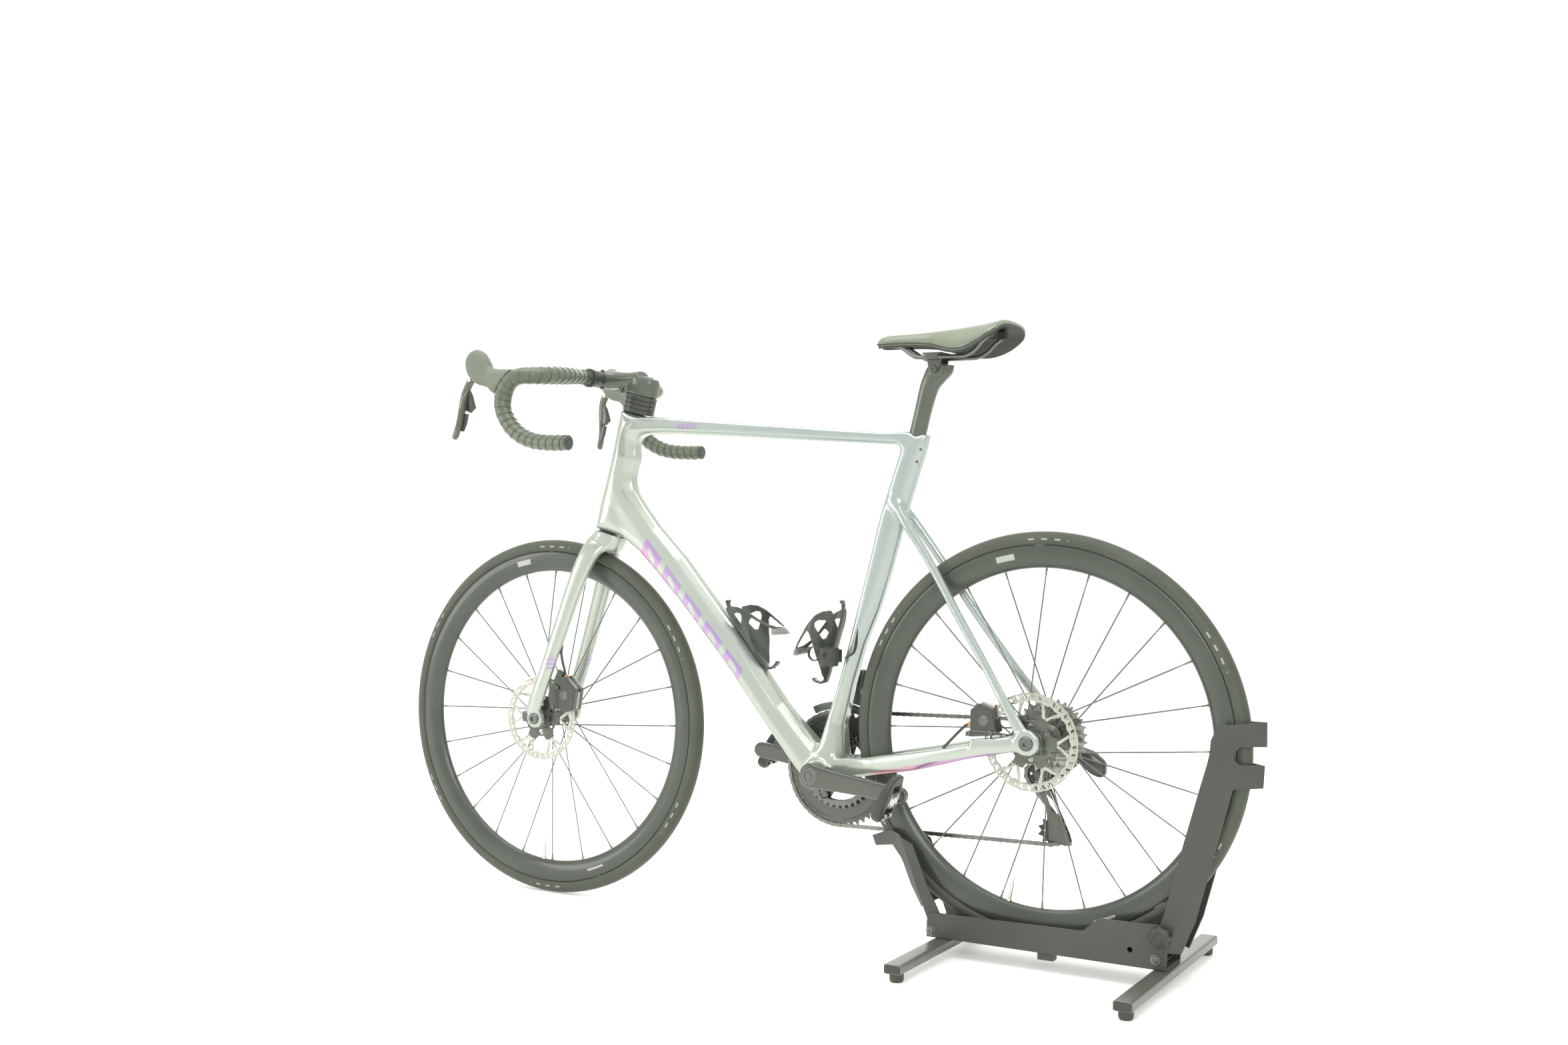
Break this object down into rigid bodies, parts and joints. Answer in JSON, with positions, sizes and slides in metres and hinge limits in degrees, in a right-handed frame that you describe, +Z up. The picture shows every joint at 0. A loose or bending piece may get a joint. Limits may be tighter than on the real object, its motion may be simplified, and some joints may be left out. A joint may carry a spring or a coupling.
{
  "type": "road bicycle on a display stand",
  "caption": "Drop-bar road bicycle with disc brakes and electronic shifting, held upright by its rear wheel in a folding sheet-metal floor stand with crossbars.",
  "frame": {"origin": "middle of the bounding box at floor level, under the bicycle", "axes": "+X forward along the bicycle, +Y to the rider's left, +Z up"},
  "size_m": [1.7014, 0.4658, 1.062],
  "materials": {
    "frame_paint": "gloss pearl over carbon composite",
    "black_alloy": "satin anodised",
    "polished_steel": "polished",
    "dark_steel": "satin",
    "raw_alloy": "satin",
    "tyre_rubber": "matt",
    "rubber": "matt",
    "bar_tape": "semi-gloss grip tape",
    "saddle_skin": "matt synthetic",
    "black_plastic": "matt",
    "gloss_plastic": "gloss",
    "stand_steel": "matt powder coat"
  },
  "bodies": {
    "stand": {"stand_beam": "stand_steel", "stand_front_crossbar": "stand_steel", "stand_rear_crossbar": "stand_steel", "stand_front_foot_left": "rubber", "stand_front_foot_right": "rubber", "stand_rear_foot_left": "rubber", "stand_rear_foot_right": "rubber", "stand_front_bolt": "dark_steel", "stand_rear_bolt": "dark_steel"},
    "stand_front_hook": {"stand_front_arm": "stand_steel"},
    "stand_rear_hook": {"stand_rear_arm": "stand_steel"},
    "stand_lock_knob": {"stand_knob": "black_plastic"},
    "bicycle": {"frame": "frame_paint", "rear_thru_axle": "black_alloy", "rear_derailleur": "black_alloy", "rear_derailleur_cage": "black_alloy", "front_derailleur": "black_alloy", "rear_caliper": "black_alloy", "chain": "dark_steel", "bottle_cage_down_tube": "gloss_plastic", "bottle_cage_seat_tube": "gloss_plastic", "pump_clip": "black_plastic"},
    "saddle_and_post": {"seatpost": "gloss_plastic", "seat_clamp": "black_alloy", "saddle_rails": "black_alloy", "saddle_shell": "black_plastic", "saddle_cover": "saddle_skin"},
    "rear_wheel": {"rear_tyre": "tyre_rubber", "rear_rim": "black_alloy", "rear_hub_spokes": "raw_alloy", "rear_rotor": "polished_steel"},
    "cassette_sprockets": {"cassette": "polished_steel"},
    "guide_jockey": {"guide_pulley": "black_plastic"},
    "tension_jockey": {"tension_pulley": "black_plastic"},
    "crankset": {"crank_left": "black_alloy", "crank_right": "black_alloy", "big_chainring": "black_alloy", "small_chainring": "black_alloy"},
    "left_pedal": {"pedal_left": "black_alloy"},
    "right_pedal": {"pedal_right": "black_alloy"},
    "front_end": {"fork": "frame_paint", "headset_spacers": "black_plastic", "stem": "black_alloy", "handlebar": "black_alloy", "bar_tape_left": "bar_tape", "bar_tape_right": "bar_tape", "hood_left": "rubber", "hood_right": "rubber", "front_caliper": "black_alloy", "front_thru_axle": "black_alloy"},
    "front_wheel": {"front_tyre": "tyre_rubber", "front_rim": "black_alloy", "front_hub_spokes": "raw_alloy", "front_rotor": "polished_steel"},
    "left_brake_lever": {"brake_lever_left": "black_alloy"},
    "left_upper_paddle": {"shift_paddle_upper_left": "black_plastic"},
    "left_lower_paddle": {"shift_paddle_lower_left": "black_plastic"},
    "right_brake_lever": {"brake_lever_right": "black_alloy"},
    "right_upper_paddle": {"shift_paddle_upper_right": "black_plastic"},
    "right_lower_paddle": {"shift_paddle_lower_right": "black_plastic"}
  },
  "joints": [
    {"name": "front_hook_fold", "type": "hinge", "parent": "stand", "child": "stand_front_hook", "pos_m": [-0.3094, 0, 0.041], "axis": [0, 1, 0], "range_deg": [0, 60]},
    {"name": "rear_hook_fold", "type": "hinge", "parent": "stand", "child": "stand_rear_hook", "pos_m": [-0.692, 0, 0.0468], "axis": [0, 1, 0], "range_deg": [-40, 0]},
    {"name": "lock_knob_turn", "type": "hinge", "parent": "stand", "child": "stand_lock_knob", "pos_m": [-0.701, 0.041, 0.0844], "axis": [0, 1, 0], "continuous": true},
    {"name": "bicycle_lift_out", "type": "slide", "parent": "stand", "child": "bicycle", "axis": [0, 0, 1], "range_m": [0, 0.45]},
    {"name": "seat_height", "type": "slide", "parent": "bicycle", "child": "saddle_and_post", "axis": [-0.2351, 0, 0.972], "range_m": [-0.03, 0.04]},
    {"name": "rear_wheel_spin", "type": "hinge", "parent": "bicycle", "child": "rear_wheel", "pos_m": [-0.4896, 0, 0.3728], "axis": [0, 1, 0], "continuous": true},
    {"name": "front_wheel_spin", "type": "hinge", "parent": "front_end", "child": "front_wheel", "pos_m": [0.5115, 0, 0.34], "axis": [0, 1, 0], "continuous": true},
    {"name": "crank_spin", "type": "hinge", "parent": "bicycle", "child": "crankset", "pos_m": [-0.0881, 0, 0.2835], "axis": [0, 1, 0], "continuous": true},
    {"name": "cassette_spin", "type": "hinge", "parent": "bicycle", "child": "cassette_sprockets", "pos_m": [-0.4896, 0, 0.3728], "axis": [0, 1, 0], "continuous": true},
    {"name": "guide_pulley_spin", "type": "hinge", "parent": "bicycle", "child": "guide_jockey", "pos_m": [-0.4566, 0, 0.303], "axis": [0, 1, 0], "continuous": true},
    {"name": "tension_pulley_spin", "type": "hinge", "parent": "bicycle", "child": "tension_jockey", "pos_m": [-0.4821, 0, 0.2095], "axis": [0, 1, 0], "continuous": true},
    {"name": "left_pedal_spin", "type": "hinge", "parent": "crankset", "child": "left_pedal", "pos_m": [-0.25981, 0.1, 0.26697], "axis": [0, 1, 0], "continuous": true},
    {"name": "right_pedal_spin", "type": "hinge", "parent": "crankset", "child": "right_pedal", "pos_m": [0.08361, -0.1, 0.30003], "axis": [0, 1, 0], "continuous": true},
    {"name": "steering", "type": "hinge", "parent": "bicycle", "child": "front_end", "pos_m": [0.3249, 0, 0.9215], "axis": [-0.2426, 0, 0.9701], "range_deg": [-50, 50]},
    {"name": "left_lever_pull", "type": "hinge", "parent": "front_end", "child": "left_brake_lever", "pos_m": [0.5504, 0.211, 0.973], "axis": [0, 1, 0], "range_deg": [0, 20], "stiffness_Nm_per_rad": 1.5, "springref_deg": -8.59},
    {"name": "left_upper_shift_press", "type": "hinge", "parent": "left_brake_lever", "child": "left_upper_paddle", "pos_m": [0.5544, 0.212, 0.95], "axis": [1, 0, 0], "range_deg": [-2, 0], "stiffness_Nm_per_rad": 0.2},
    {"name": "left_lower_shift_press", "type": "hinge", "parent": "left_brake_lever", "child": "left_lower_paddle", "pos_m": [0.5544, 0.212, 0.95], "axis": [1, 0, 0], "range_deg": [-2, 0], "stiffness_Nm_per_rad": 0.2},
    {"name": "right_lever_pull", "type": "hinge", "parent": "front_end", "child": "right_brake_lever", "pos_m": [0.5504, -0.211, 0.973], "axis": [0, 1, 0], "range_deg": [0, 20], "stiffness_Nm_per_rad": 1.5, "springref_deg": -8.59},
    {"name": "right_upper_shift_press", "type": "hinge", "parent": "right_brake_lever", "child": "right_upper_paddle", "pos_m": [0.5544, -0.212, 0.95], "axis": [1, 0, 0], "range_deg": [0, 2], "stiffness_Nm_per_rad": 0.2},
    {"name": "right_lower_shift_press", "type": "hinge", "parent": "right_brake_lever", "child": "right_lower_paddle", "pos_m": [0.5544, -0.212, 0.95], "axis": [1, 0, 0], "range_deg": [0, 2], "stiffness_Nm_per_rad": 0.2}
  ],
  "couplings": [
    {"joint": "cassette_spin", "follows": "crank_spin", "ratio": 4.5455},
    {"joint": "guide_pulley_spin", "follows": "crank_spin", "ratio": -4.5455},
    {"joint": "tension_pulley_spin", "follows": "crank_spin", "ratio": 4.5455}
  ]
}
